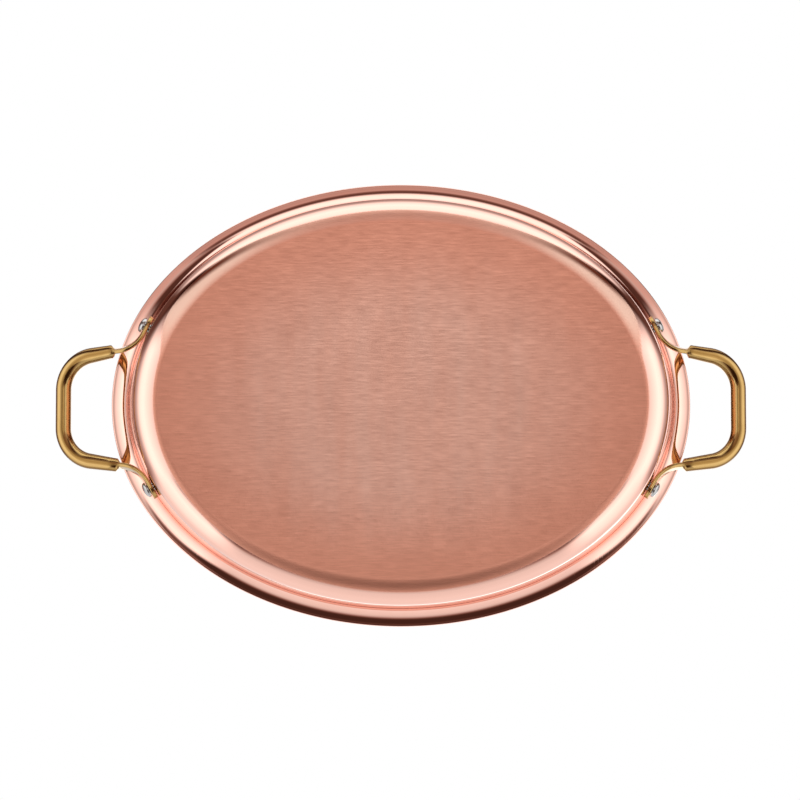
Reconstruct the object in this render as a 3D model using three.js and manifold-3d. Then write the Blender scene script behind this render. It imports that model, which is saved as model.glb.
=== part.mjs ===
// An oval copper pan with a flared lip, two riveted brass handles and a domed cover.
// Millimetres, +Z up. The origin is the middle of the flat base, on the surface that the pan stands on.
// X runs along the pan from handle to handle.

import * as THREE from "three";
import { mergeVertices } from "three/addons/utils/BufferGeometryUtils.js";
import Module from "manifold-3d";

// Pan
const rimLength = 300; // over the lip
const rimWidth = 229.5;
const baseLength = 243.6; // of the flat that the pan stands on
const baseWidth = 177.6;
const panHeight = 45;
const sheet = 1.2; // copper of the pan and of the lid
const heelRadius = 14.2; // outside, from the base into the wall
const lipRadius = 9.1; // underside of the flare

// Lid
const lidInset = 2; // edge of the lid to the edge of the lip
const seatGap = 0.3; // flange over the lip
const lidRise = 20; // crown over the underside of the flange
const crownSlope = 7; // degrees, at the edge of the crown
const shoulderRadius = 16;
const shoulderSlope = 62; // degrees, from the shoulder down into the groove
const grooveDepth = 7.5; // groove that drops into the mouth and locates the lid
const grooveRadius = 3.2;
const grooveDraft = 8; // degrees, on the groove's outer wall
const flangeFillet = 2.6;
const mouthGap = 1; // groove to the inside of the mouth

// Left between a handle, its rivets and the sheet that they are seated on
const fitGap = 0.3;

// Handles, bent from rod with flattened feet
const rodDiameter = 7.9; // at the grip
const armDiameter = 6.8; // where the foot starts
const gripBend = 17.5; // centre line of the rod
const armSplay = 8.4; // degrees, each arm away from the middle of the handle
const footThickness = 2.4;
const footHeight = 11.5;
const flattenLength = 2.2; // from round rod to flat foot
const footLead = 1.3; // straight of the flat foot, before its bend
const spreadLength = 9; // along the foot, until it has its full height
const footSquareness = 5; // power of the foot's section, where 2 is round
const rivetFromBend = 3; // along the foot, from the end of its bend to the rivet
const fingerGap = 20.4; // edge of the lip to the grip
const armSpan = 57.1; // between the arms' centre lines, at the edge of the lip
const footBend = 17;
const footDrop = 2.6; // top of the foot under the start of the flare
const handleRake = 24; // degrees, grip up from the feet
const handleShift = 2.5; // side handles towards the front, off the middle of the pan
const lidGripRise = 32; // crown to the grip's centre line
const lidArmSpan = 62.8; // between the arms' centre lines, carried on to the crown
const lidFootBend = 8;

// Rivets
const shankDiameter = 4.6;
const headDiameter = 8;
const headHeight = 2.3;
const tailDiameter = 8.4; // the head inside the pan
const tailHeight = 1.5;

// Smoothness
const ringSegments = 60;
const arcSteps = 5;
const flattenSteps = 3;
const rodSides = 12;
const rivetSegments = 12;
const tipTurn = 80; // degrees of the round end of a foot, short of its point
const searchSteps = 60;

const rad = THREE.MathUtils.degToRad;
const lerp = THREE.MathUtils.lerp;
const wasm = await Module();
wasm.setup();

// Points of an arc with their normals, which face away from the centre, or towards it for side -1.
function arc(centre, radius, from, to, side = 1) {
  const points = [];
  for (let i = 0; i <= arcSteps; i++) {
    const angle = lerp(from, to, i / arcSteps);
    const normal = new THREE.Vector2(Math.cos(angle), Math.sin(angle));
    const point = centre.clone().addScaledVector(normal, radius);
    points.push({ point, normal: normal.multiplyScalar(side) });
  }
  return points;
}

// Half-round edge of the sheet.
function sheetEdge(half, z) {
  const centre = new THREE.Vector2(half - sheet / 2, z);
  return arc(centre, sheet / 2, -Math.PI / 2, Math.PI / 2)
    .slice(1, -1)
    .map((at) => at.point);
}

// The same profile on the other side of the sheet.
function backOf(profile) {
  return profile.map((at) => at.point.clone().addScaledVector(at.normal, -sheet));
}

// The pan's section along one half axis: the heel and the flare are joined by the line that touches both.
// Where the wall would lean inwards, both bends are tightened until it stands upright.
function panSection(baseHalf, rimHalf) {
  const room = rimHalf - sheet / 2 - baseHalf;
  const fit = Math.min(1, room / (heelRadius + lipRadius));
  const heelBend = fit * heelRadius;
  const lipBend = fit * lipRadius;
  const heel = new THREE.Vector2(baseHalf, heelBend);
  const lip = new THREE.Vector2(rimHalf - sheet / 2, panHeight - sheet - lipBend);
  const reach = lip.clone().sub(heel);
  const flare = Math.acos((heelBend + lipBend) / reach.length()) - reach.angle();
  const heelArc = arc(heel, heelBend, -Math.PI / 2, -flare);
  const lipArc = arc(lip, lipBend, Math.PI - flare, Math.PI / 2, -1);
  const outside = [...heelArc, ...lipArc];
  const loop = [
    new THREE.Vector2(0, 0),
    ...outside.map((at) => at.point),
    ...sheetEdge(rimHalf, panHeight - sheet / 2),
    ...backOf(outside).reverse(),
    new THREE.Vector2(0, sheet),
  ];
  return { loop, flare, lipBend, wallFoot: heelArc.at(-1).point, wallTop: lipArc[0].point };
}

// The lid's section along one half axis, with z from the underside of the flange.
// Its groove clears the inside of the flare by mouthGap, and the crown takes the room that is left.
function lidSection(rimHalf, lipBend) {
  const lip = new THREE.Vector2(rimHalf - sheet / 2, -seatGap - sheet - lipBend);
  const grooveZ = sheet - grooveDepth + grooveRadius;
  const apart = lipBend + sheet + grooveRadius + sheet + mouthGap;
  const groove = new THREE.Vector2(lip.x - Math.sqrt(apart ** 2 - (grooveZ - lip.y) ** 2), grooveZ);
  const slope = rad(shoulderSlope);
  const draft = rad(grooveDraft);
  const grooveArc = arc(groove, grooveRadius, 1.5 * Math.PI - slope, 2 * Math.PI - draft, -1);

  const filletZ = sheet - flangeFillet;
  const bends = grooveRadius + flangeFillet;
  const wall = (filletZ - groove.y + bends * Math.sin(draft)) / Math.cos(draft);
  const filletX = groove.x + bends * Math.cos(draft) + wall * Math.sin(draft);
  const fillet = new THREE.Vector2(filletX, filletZ);
  const filletArc = arc(fillet, flangeFillet, Math.PI - draft, Math.PI / 2);

  const edgeSlope = rad(crownSlope);
  const steep = Math.tan(slope);
  const sag = Math.tan(edgeSlope) / 2;
  const turnX = shoulderRadius * (Math.sin(slope) - Math.sin(edgeSlope));
  const turnZ = shoulderRadius * (Math.cos(edgeSlope) - Math.cos(slope));
  const start = grooveArc[0].point;
  const crownHalf = (steep * (start.x - turnX) + start.y - lidRise + turnZ) / (steep - sag);
  const crown = [];
  for (let i = 1; i < arcSteps; i++) {
    const x = (crownHalf * i) / arcSteps;
    const point = new THREE.Vector2(x, lidRise - (sag * x * x) / crownHalf);
    crown.push({ point, normal: new THREE.Vector2((2 * sag * x) / crownHalf, 1).normalize() });
  }
  const shoulder = new THREE.Vector2(
    crownHalf - shoulderRadius * Math.sin(edgeSlope),
    lidRise - sag * crownHalf - shoulderRadius * Math.cos(edgeSlope),
  );
  const shoulderArc = arc(shoulder, shoulderRadius, Math.PI / 2 - edgeSlope, Math.PI / 2 - slope);

  const edge = new THREE.Vector2(rimHalf - lidInset - sheet / 2, sheet);
  const flange = { point: edge, normal: new THREE.Vector2(0, 1) };
  const top = [...crown, ...shoulderArc, ...grooveArc, ...filletArc, flange];
  const loop = [
    new THREE.Vector2(0, lidRise - sheet),
    ...backOf(top),
    ...sheetEdge(rimHalf - lidInset, sheet / 2),
    ...top.map((at) => at.point).reverse(),
    new THREE.Vector2(0, lidRise),
  ];
  return { loop, sag: sag / crownHalf };
}

// Closed surface over rings of points. The first and last rings are closed by a fan to their centre point.
function skin(rings, firstCentre, lastCentre) {
  const count = rings[0].length;
  const positions = [firstCentre, ...rings.flat(), lastCentre].flatMap((p) => p.toArray());
  const last = positions.length / 3 - 1;
  const at = (ring, i) => 1 + ring * count + (i % count);
  const index = [];
  for (let i = 0; i < count; i++) {
    index.push(0, at(0, i + 1), at(0, i));
    for (let ring = 0; ring + 1 < rings.length; ring++) {
      index.push(at(ring, i), at(ring, i + 1), at(ring + 1, i));
      index.push(at(ring, i + 1), at(ring + 1, i + 1), at(ring + 1, i));
    }
    index.push(at(rings.length - 1, i), at(rings.length - 1, i + 1), last);
  }
  const geometry = new THREE.BufferGeometry();
  geometry.setAttribute("position", new THREE.Float32BufferAttribute(positions, 3));
  geometry.setIndex(index);
  return geometry;
}

// Oval shell whose section runs from the end loop to the side loop and back.
function ovalShell(endLoop, sideLoop) {
  const ringAt = (i) => {
    const ring = [];
    for (let j = 0; j < ringSegments; j++) {
      const angle = (2 * Math.PI * j) / ringSegments;
      const toSide = Math.sin(angle) ** 2;
      const x = endLoop[i].x * Math.cos(angle);
      const y = sideLoop[i].x * Math.sin(angle);
      ring.push(new THREE.Vector3(x, y, lerp(endLoop[i].y, sideLoop[i].y, toSide)));
    }
    return ring;
  };
  const rings = endLoop.slice(1, -1).map((_, i) => ringAt(i + 1));
  const first = new THREE.Vector3(0, 0, endLoop[0].y);
  const last = new THREE.Vector3(0, 0, endLoop.at(-1).y);
  return skin(rings, first, last);
}

// Centre line of half a handle, from the middle of the grip to the tip of the foot, in a plane:
// x is out from the seat and y is along it. seat(along) gives the seat's point, its normal and its lean.
// span is taken between the arms at spanOut.
function handleHalf({ seat, gripOut, spanOut, span, bend }) {
  const splay = rad(armSplay);
  const onArm = new THREE.Vector2(spanOut, span / 2);
  const armWay = new THREE.Vector2(-Math.cos(splay), Math.sin(splay));
  const armSide = new THREE.Vector2(Math.sin(splay), Math.cos(splay));
  const lift = fitGap + footThickness / 2;

  // The bend of the foot touches the line of the arm and the seat: search along the seat for its end.
  const bendCentre = (along) => {
    const on = seat(along);
    return on.point.clone().addScaledVector(on.normal, lift + bend);
  };
  let low = 0;
  let high = span + bend;
  for (let i = 0; i < searchSteps; i++) {
    const middle = (low + high) / 2;
    const short = bendCentre(middle).sub(onArm).dot(armSide) < bend;
    if (short) low = middle;
    else high = middle;
  }
  const landing = low;
  const centre = bendCentre(landing);
  const landed = seat(landing).normal;

  const stations = [];
  const add = (x, y, wayX, wayY) => {
    const point = new THREE.Vector2(x, y);
    const way = new THREE.Vector2(wayX, wayY).normalize();
    const gone = stations.length ? stations.at(-1).gone + point.distanceTo(stations.at(-1).point) : 0;
    stations.push({ point, way, gone });
  };

  const corner = onArm.y - (gripOut - spanOut) * Math.tan(splay);
  const gripHalf = corner - gripBend * Math.tan((Math.PI / 2 - splay) / 2);
  add(gripOut, 0, 0, 1);
  for (let i = 0; i <= arcSteps; i++) {
    const angle = lerp(0, Math.PI / 2 - splay, i / arcSteps);
    const x = gripOut - gripBend * (1 - Math.cos(angle));
    add(x, gripHalf + gripBend * Math.sin(angle), -Math.sin(angle), Math.cos(angle));
  }
  const bendStart = centre.clone().addScaledVector(armSide, -bend);
  for (let i = 0; i <= flattenSteps; i++) {
    const back = footLead + flattenLength * (1 - i / flattenSteps);
    const point = bendStart.clone().addScaledVector(armWay, -back);
    add(point.x, point.y, armWay.x, armWay.y);
  }
  const shoulder = stations.at(-1 - flattenSteps);

  const turnFrom = Math.atan2(-armSide.y, -armSide.x);
  const turnTo = Math.atan2(-landed.y, -landed.x);
  for (let i = 0; i <= arcSteps; i++) {
    const angle = lerp(turnFrom, turnTo < turnFrom ? turnTo : turnTo - 2 * Math.PI, i / arcSteps);
    const x = centre.x + bend * Math.cos(angle);
    add(x, centre.y + bend * Math.sin(angle), Math.sin(angle), -Math.cos(angle));
  }
  const rivetAlong = landing + rivetFromBend * landed.x;
  const tipRadius = footHeight / 2;
  const tipWay = seat(rivetAlong).normal.x;
  for (let i = 0; i <= arcSteps; i++) {
    const round = rad(lerp(0, tipTurn, i / arcSteps));
    const on = seat(rivetAlong + tipRadius * Math.sin(round) * tipWay);
    const point = on.point.clone().addScaledVector(on.normal, lift);
    add(point.x, point.y, -on.normal.y, on.normal.x);
    stations.at(-1).tipHeight = footHeight * Math.cos(round);
  }

  // Section at each station: round rod, then a flat foot with rounded edges.
  const armFrom = stations[arcSteps + 1].gone;
  for (const station of stations) {
    const taper = THREE.MathUtils.clamp((station.gone - armFrom) / (shoulder.gone - armFrom), 0, 1);
    const round = lerp(rodDiameter, armDiameter, taper);
    station.flat = THREE.MathUtils.smoothstep(station.gone, shoulder.gone, shoulder.gone + flattenLength);
    station.lean = station.flat * seat(station.point.y).lean;
    station.thick = lerp(round, footThickness, station.flat);
    const spread = THREE.MathUtils.smoothstep(station.gone, shoulder.gone, shoulder.gone + spreadLength);
    station.tall = station.tipHeight ?? lerp(round, footHeight, spread);
  }
  return { stations, rivetAlong, shoulderOut: shoulder.point.x };
}

// Handle in its own frame: x out, y along, z across, from its half at -y and its half at +y.
function handleGeometry(front, rear, rake) {
  const riseFrom = Math.max(front.shoulderOut, rear.shoulderOut);
  const ringOf = (station, side) => {
    const { lean } = station;
    const normal = new THREE.Vector2(station.way.y, -station.way.x);
    const rise = Math.max(0, station.point.x - riseFrom) * Math.tan(rake);
    const power = 2 / lerp(2, footSquareness, station.flat);
    const ring = [];
    for (let i = 0; i < rodSides; i++) {
      const angle = (-2 * Math.PI * i) / rodSides;
      const soft = (value) => Math.sign(value) * Math.abs(value) ** power;
      const thin = (station.thick / 2) * soft(Math.cos(angle));
      const across = (station.tall / 2) * soft(Math.sin(angle));
      const out = thin * Math.cos(lean) + across * Math.sin(lean);
      const up = across * Math.cos(lean) - thin * Math.sin(lean) + rise;
      const x = station.point.x + out * normal.x;
      const y = side * (station.point.y + out * normal.y);
      ring.push(new THREE.Vector3(x, y, up));
    }
    return ring;
  };
  const far = front.stations.slice(1).reverse();
  const rings = far.map((station) => ringOf(station, -1));
  rings.push(...rear.stations.map((station) => ringOf(station, 1)));
  const middleOf = (ring) => ring[0].clone().lerp(ring[rodSides / 2], 0.5);
  return skin(rings, middleOf(rings[0]), middleOf(rings.at(-1)));
}

function solidOf(geometry, matrix) {
  const bare = new THREE.BufferGeometry();
  bare.setAttribute("position", geometry.getAttribute("position").clone());
  bare.setIndex(geometry.index);
  if (matrix) bare.applyMatrix4(matrix);
  const merged = mergeVertices(bare, 1e-4);
  const vertProperties = merged.attributes.position.array;
  const triVerts = new Uint32Array(merged.index.array);
  return new wasm.Manifold(new wasm.Mesh({ numProp: 3, vertProperties, triVerts }));
}

// The geometry with a rivet hole at each placing.
function drilled(geometry, placings) {
  const depth = 4 * (sheet + footThickness);
  const drill = new THREE.CylinderGeometry(1, 1, depth, rivetSegments);
  drill.scale(shankDiameter / 2 + fitGap, 1, shankDiameter / 2 + fitGap);
  let solid = solidOf(geometry);
  for (const placing of placings) solid = solid.subtract(solidOf(drill, placing));
  const { vertProperties, triVerts } = solid.getMesh();
  const cut = new THREE.BufferGeometry();
  cut.setAttribute("position", new THREE.BufferAttribute(vertProperties, 3));
  cut.setIndex(new THREE.BufferAttribute(triVerts, 1));
  return cut;
}

// Placing of a rivet: its Y axis leaves the sheet along the normal, from the sheet's outer face.
function placingAt(point, normal) {
  const turn = new THREE.Quaternion().setFromUnitVectors(new THREE.Vector3(0, 1, 0), normal);
  return new THREE.Matrix4().compose(point, turn, new THREE.Vector3(1, 1, 1));
}

// A rivet through the sheet and the foot, with a flat tail inside and a domed head outside.
function rivetGeometry() {
  const tailTop = -sheet - fitGap;
  const headFoot = 2 * fitGap + footThickness;
  const edge = tailHeight / 3;
  const points = [
    new THREE.Vector2(0, tailTop - tailHeight),
    new THREE.Vector2(tailDiameter / 2 - edge, tailTop - tailHeight),
    new THREE.Vector2(tailDiameter / 2, tailTop - tailHeight + edge),
    new THREE.Vector2(tailDiameter / 2, tailTop),
    new THREE.Vector2(shankDiameter / 2, tailTop),
    new THREE.Vector2(shankDiameter / 2, headFoot),
  ];
  for (let i = 0; i <= arcSteps; i++) {
    const angle = (Math.PI / 2) * (i / arcSteps);
    const x = i < arcSteps ? (headDiameter / 2) * Math.cos(angle) : 0;
    points.push(new THREE.Vector2(x, headFoot + headHeight * Math.sin(angle)));
  }
  return new THREE.LatheGeometry(points, rivetSegments);
}

function metal(color, roughness) {
  return new THREE.MeshStandardMaterial({ color, roughness, metalness: 1 });
}
const copper = () => metal("#c98f74", 0.22);
const brass = () => metal("#b98f4a", 0.3);
const silver = () => metal("#b9b6b2", 0.35);

function piece(name, geometry, material) {
  const mesh = new THREE.Mesh(geometry, material);
  mesh.name = name;
  return mesh;
}

// Pan and side handles
const panEnd = panSection(baseLength / 2, rimLength / 2);
const panSide = panSection(baseWidth / 2, rimWidth / 2);
const footZ = panEnd.wallTop.y - footDrop - footHeight / 2;
const wallLong = panEnd.wallFoot.x + (footZ - panEnd.wallFoot.y) * Math.tan(panEnd.flare);
const wallWide = panSide.wallFoot.x + (footZ - panSide.wallFoot.y) * Math.tan(panSide.flare);

// The wall's outline at the height of the feet, and how far the wall leans outwards there.
// along is taken from the middle of the handle, which is set off from the middle of the pan.
function wallSeat(along, setOff) {
  const sine = Math.min((along + setOff) / wallWide, 1);
  const cosine = Math.sqrt(1 - sine * sine);
  const normal = new THREE.Vector2(wallWide * cosine, wallLong * sine).normalize();
  const run = Math.tan(panEnd.flare) * normal.x ** 2 + Math.tan(panSide.flare) * normal.y ** 2;
  const point = new THREE.Vector2(wallLong * cosine, wallWide * sine - setOff);
  return { point, normal, lean: Math.atan(run) };
}

function sideHalf(setOff) {
  const seat = (along) => wallSeat(along, setOff);
  const gripOut = rimLength / 2 + fingerGap + rodDiameter / 2;
  return { seat, ...handleHalf({ seat, gripOut, spanOut: rimLength / 2, span: armSpan, bend: footBend }) };
}
const frontHalf = sideHalf(handleShift);
const rearHalf = sideHalf(-handleShift);

function sideRivetPlacing(half, across, along) {
  const { point, normal, lean } = half.seat(half.rivetAlong);
  const way = new THREE.Vector3(across * normal.x, along * normal.y, -Math.tan(lean)).normalize();
  return placingAt(new THREE.Vector3(across * point.x, along * point.y - handleShift, footZ), way);
}

const rightPlacings = { front: sideRivetPlacing(frontHalf, 1, -1), rear: sideRivetPlacing(rearHalf, 1, 1) };
const leftPlacings = { front: sideRivetPlacing(frontHalf, -1, -1), rear: sideRivetPlacing(rearHalf, -1, 1) };
const panHoles = [...Object.values(rightPlacings), ...Object.values(leftPlacings)];
const sideHandle = handleGeometry(frontHalf, rearHalf, rad(handleRake)).translate(0, -handleShift, footZ);
const rightHandle = drilled(sideHandle, Object.values(rightPlacings));

// The same handle for the other end.
function mirrored(geometry) {
  const copy = geometry.clone().scale(-1, 1, 1);
  copy.index.array.reverse();
  return copy;
}

const pan = new THREE.Group();
pan.add(piece("pan_body", drilled(ovalShell(panEnd.loop, panSide.loop), panHoles), copper()));
pan.add(piece("right_handle", rightHandle, brass()));
pan.add(piece("left_handle", mirrored(rightHandle), brass()));
for (const [side, placings] of [["left", leftPlacings], ["right", rightPlacings]]) {
  for (const [end, placing] of Object.entries(placings)) {
    const rivet = piece(`${side}_${end}_rivet`, rivetGeometry(), silver());
    rivet.applyMatrix4(placing);
    pan.add(rivet);
  }
}

// Lid, in its own frame on the underside of its flange
const lidEnd = lidSection(rimLength / 2, panEnd.lipBend);
const lidSide = lidSection(rimWidth / 2, panSide.lipBend);

// The crown along the pan's length.
function crownSeat(along) {
  const normal = new THREE.Vector2(1, 2 * lidEnd.sag * along).normalize();
  return { point: new THREE.Vector2(lidRise - lidEnd.sag * along * along, along), normal, lean: 0 };
}

const lidHalf = handleHalf({
  seat: crownSeat,
  gripOut: lidRise + lidGripRise,
  spanOut: lidRise,
  span: lidArmSpan,
  bend: lidFootBend,
});

function lidRivetPlacing(side) {
  const { point, normal } = crownSeat(lidHalf.rivetAlong);
  const way = new THREE.Vector3(side * normal.y, 0, normal.x);
  return placingAt(new THREE.Vector3(side * point.y, 0, point.x), way);
}

const lidPlacings = { left: lidRivetPlacing(-1), right: lidRivetPlacing(1) };
const upright = new THREE.Matrix4().set(0, 1, 0, 0, 0, 0, 1, 0, 1, 0, 0, 0, 0, 0, 0, 1);
const lidHandle = handleGeometry(lidHalf, lidHalf, 0).applyMatrix4(upright);

const lid = new THREE.Group();
lid.position.z = panHeight + seatGap;
const lidShell = ovalShell(lidEnd.loop, lidSide.loop);
lid.add(piece("lid_body", drilled(lidShell, Object.values(lidPlacings)), copper()));
lid.add(piece("lid_handle", drilled(lidHandle, Object.values(lidPlacings)), brass()));
for (const [side, placing] of Object.entries(lidPlacings)) {
  const rivet = piece(`lid_${side}_rivet`, rivetGeometry(), silver());
  rivet.applyMatrix4(placing);
  lid.add(rivet);
}

const ovalPan = new THREE.Group();
ovalPan.add(pan, lid);

export default ovalPan;
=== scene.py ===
import math

import bpy
from mathutils import Matrix, Vector


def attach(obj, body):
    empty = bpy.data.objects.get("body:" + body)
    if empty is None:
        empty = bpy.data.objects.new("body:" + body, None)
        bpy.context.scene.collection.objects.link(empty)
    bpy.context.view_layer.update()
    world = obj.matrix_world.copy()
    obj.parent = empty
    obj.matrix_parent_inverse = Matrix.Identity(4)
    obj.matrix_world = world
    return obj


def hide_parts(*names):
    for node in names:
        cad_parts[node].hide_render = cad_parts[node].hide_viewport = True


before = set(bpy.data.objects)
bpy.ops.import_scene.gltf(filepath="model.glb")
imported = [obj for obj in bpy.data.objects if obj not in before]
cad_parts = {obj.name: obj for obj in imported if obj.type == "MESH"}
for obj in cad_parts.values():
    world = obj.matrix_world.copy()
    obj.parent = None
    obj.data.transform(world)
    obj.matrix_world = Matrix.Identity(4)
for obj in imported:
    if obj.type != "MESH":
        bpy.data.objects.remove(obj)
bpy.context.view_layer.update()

# Lengths are in millimetres, in the frame of the part, and become metres when a mesh is made.
metre = 0.001

scene = bpy.context.scene
scene.view_settings.view_transform = "Standard"


def clamp(value, low=0.0, high=1.0):
    return max(low, min(high, value))


def lerp(a, b, share):
    return a + (b - a) * share


def shareOf(value, low, high):
    return clamp((value - low) / (high - low))


def smoothStep(value, low, high):
    share = shareOf(value, low, high)
    return share * share * (3 - 2 * share)


# Camera: under the pan, almost square on to the base, a little from the front.
camera = {
    "lens": 104.3, "sensor": 36, "clipEnd": 50, "distance": 1158, "tilt": 3.15, "aimX": 0.5, "aimY": 0.0,
}


def makeCamera():
    tilt = math.radians(camera["tilt"])
    forward = Vector((0, math.sin(tilt), math.cos(tilt)))
    right = Vector((-1, 0, 0))
    up = right.cross(forward)
    data = bpy.data.cameras.new("camera")
    data.lens = camera["lens"]
    data.sensor_width = camera["sensor"]
    data.clip_end = camera["clipEnd"]
    made = bpy.data.objects.new("camera", data)
    scene.collection.objects.link(made)
    aim = Vector((camera["aimX"], camera["aimY"], 0))
    turn = Matrix((right, up, -forward)).transposed().to_4x4()
    made.matrix_world = Matrix.Translation((aim - forward * camera["distance"]) * metre) @ turn
    scene.camera = made


makeCamera()
print("stage: camera")


# Node helpers
def addNode(tree, kind, inputs=None, **settings):
    made = tree.nodes.new(kind)
    for key, value in settings.items():
        setattr(made, key, value)
    for key, value in (inputs or {}).items():
        if isinstance(value, bpy.types.NodeSocket):
            tree.links.new(value, made.inputs[key])
        else:
            made.inputs[key].default_value = value
    return made


def mathOf(tree, operation, *values):
    return addNode(tree, "ShaderNodeMath", dict(enumerate(values)), operation=operation).outputs[0]


def ranged(tree, value, fromMin, fromMax, toMin, toMax, kind="LINEAR"):
    inputs = {"Value": value, "From Min": fromMin, "From Max": fromMax, "To Min": toMin, "To Max": toMax}
    return addNode(tree, "ShaderNodeMapRange", inputs, interpolation_type=kind).outputs["Result"]


def mixedColour(tree, factor, a, b, blend="MIX"):
    inputs = {0: factor, 6: a, 7: b}
    return addNode(tree, "ShaderNodeMix", inputs, data_type="RGBA", blend_type=blend).outputs[2]


def mixedValue(tree, factor, a, b):
    return addNode(tree, "ShaderNodeMix", {0: factor, 2: a, 3: b}, data_type="FLOAT").outputs[0]


def attributeOf(tree, name):
    return addNode(tree, "ShaderNodeAttribute", attribute_name=name).outputs["Fac"]


def stretched(tree, vector, scale):
    return addNode(tree, "ShaderNodeMapping", {"Vector": vector, "Scale": scale}).outputs["Vector"]


def noiseOf(tree, vector, scale, detail=3.0, roughness=0.55, distortion=0.0):
    inputs = {"Vector": vector, "Scale": scale, "Detail": detail, "Roughness": roughness}
    made = addNode(tree, "ShaderNodeTexNoise", inputs)
    made.inputs["Distortion"].default_value = distortion
    return made.outputs["Fac"]


def rampOf(tree, share, stops, colourOf, span=180):
    made = addNode(tree, "ShaderNodeValToRGB", {"Fac": share})
    ramp = made.color_ramp
    while len(ramp.elements) < len(stops):
        ramp.elements.new(0.5)
    for element, (place, _) in zip(ramp.elements, stops):
        element.position = place / span
    for element, (_, value) in zip(ramp.elements, stops):
        element.color = colourOf(value)
    return made.outputs["Color"]


def newGroup(name, inputs, outputs):
    tree = bpy.data.node_groups.new(name, "ShaderNodeTree")
    for key, (kind, value) in inputs.items():
        socket = tree.interface.new_socket(name=key, in_out="INPUT", socket_type=kind)
        if value is not None:
            socket.default_value = value
    for key in outputs:
        tree.interface.new_socket(name=key, in_out="OUTPUT", socket_type="NodeSocketFloat")
    given = tree.nodes.new("NodeGroupInput")
    result = tree.nodes.new("NodeGroupOutput")
    return tree, given, result


def useGroup(tree, group, inputs):
    made = tree.nodes.new("ShaderNodeGroup")
    made.node_tree = group
    for key, value in inputs.items():
        if isinstance(value, bpy.types.NodeSocket):
            tree.links.new(value, made.inputs[key])
        else:
            made.inputs[key].default_value = value
    return made.outputs


# Straight brush lines along the first coordinate, fine and coarse, and soft bands across them
brush = {
    "fine": 1450.0, "coarse": 420.0, "bands": 80.0, "detail": 2.0,
    "fineStretch": (0.09, 1.0, 1.0), "coarseStretch": (0.06, 1.0, 1.0), "bandStretch": (1.0, 0.12, 1.0),
    "fineShare": 0.8, "coarseShare": 0.2, "lineLow": 0.35, "lineHigh": 0.65, "bandLow": 0.3, "bandHigh": 0.7,
}


def makeBrushLines():
    inputs = {
        "Vector": ("NodeSocketVector", None),
        "Fine": ("NodeSocketFloat", brush["fine"]),
        "Coarse": ("NodeSocketFloat", brush["coarse"]),
        "Bands": ("NodeSocketFloat", brush["bands"]),
    }
    tree, given, result = newGroup("brushLines", inputs, ["Lines", "Streaks", "Bands"])
    drawn = []
    for scale, stretch in (("Fine", "fineStretch"), ("Coarse", "coarseStretch"), ("Bands", "bandStretch")):
        along = stretched(tree, given.outputs["Vector"], brush[stretch])
        drawn.append(noiseOf(tree, along, given.outputs[scale], brush["detail"]))
    fine, coarse, bands = drawn
    fine = mathOf(tree, "MULTIPLY", fine, brush["fineShare"])
    coarse = mathOf(tree, "MULTIPLY", coarse, brush["coarseShare"])
    lines = mathOf(tree, "ADD", fine, coarse)
    streaks = ranged(tree, lines, brush["lineLow"], brush["lineHigh"], 0.0, 1.0)
    bands = ranged(tree, bands, brush["bandLow"], brush["bandHigh"], 0.0, 1.0)
    tree.links.new(lines, result.inputs["Lines"])
    tree.links.new(streaks, result.inputs["Streaks"])
    tree.links.new(bands, result.inputs["Bands"])
    return tree


# Signs of use on metal: cloudy wiping marks, fine scratches and a slow wave in the sheet
used = {
    "cloud": 42.0, "cloudDetail": 5.0, "cloudRough": 0.6, "cloudTwist": 0.4,
    "cloudLow": 0.3, "cloudHigh": 0.72,
    "scratch": 900.0, "scratchStretch": (1.0, 0.06, 0.6), "scratchDetail": 2.0, "scratchRough": 0.5,
    "scratchTwist": 0.6, "scratchLow": 0.62, "scratchHigh": 0.7,
    "wave": 16.0, "waveDetail": 1.0, "waveRough": 0.4,
}


def makeWear():
    inputs = {"Vector": ("NodeSocketVector", None), "Size": ("NodeSocketFloat", 1.0)}
    tree, given, result = newGroup("wear", inputs, ["Cloud", "Scratch", "Wave"])
    scaled = addNode(tree, "ShaderNodeVectorMath", operation="SCALE")
    tree.links.new(given.outputs["Vector"], scaled.inputs[0])
    tree.links.new(given.outputs["Size"], scaled.inputs["Scale"])
    at = scaled.outputs[0]
    cloud = noiseOf(tree, at, used["cloud"], used["cloudDetail"], used["cloudRough"], used["cloudTwist"])
    cloud = ranged(tree, cloud, used["cloudLow"], used["cloudHigh"], 0.0, 1.0, "SMOOTHSTEP")
    thin = stretched(tree, at, used["scratchStretch"])
    scratch = noiseOf(
        tree, thin, used["scratch"], used["scratchDetail"], used["scratchRough"], used["scratchTwist"],
    )
    scratch = ranged(tree, scratch, used["scratchLow"], used["scratchHigh"], 0.0, 1.0)
    wave = noiseOf(tree, at, used["wave"], used["waveDetail"], used["waveRough"])
    tree.links.new(cloud, result.inputs["Cloud"])
    tree.links.new(scratch, result.inputs["Scratch"])
    tree.links.new(wave, result.inputs["Wave"])
    return tree


brushLines = makeBrushLines()
wear = makeWear()


def newMaterial(name):
    made = bpy.data.materials.new(name)
    made.use_nodes = True
    tree = made.node_tree
    tree.nodes.clear()
    output = tree.nodes.new("ShaderNodeOutputMaterial")
    shader = tree.nodes.new("ShaderNodeBsdfPrincipled")
    shader.inputs["Metallic"].default_value = 1.0
    tree.links.new(shader.outputs[0], output.inputs["Surface"])
    coordinates = tree.nodes.new("ShaderNodeTexCoord").outputs["Object"]
    return made, tree, shader, coordinates


def bumped(tree, height, strength, distance):
    inputs = {"Height": height, "Strength": strength, "Distance": distance}
    return addNode(tree, "ShaderNodeBump", inputs).outputs["Normal"]


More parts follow.
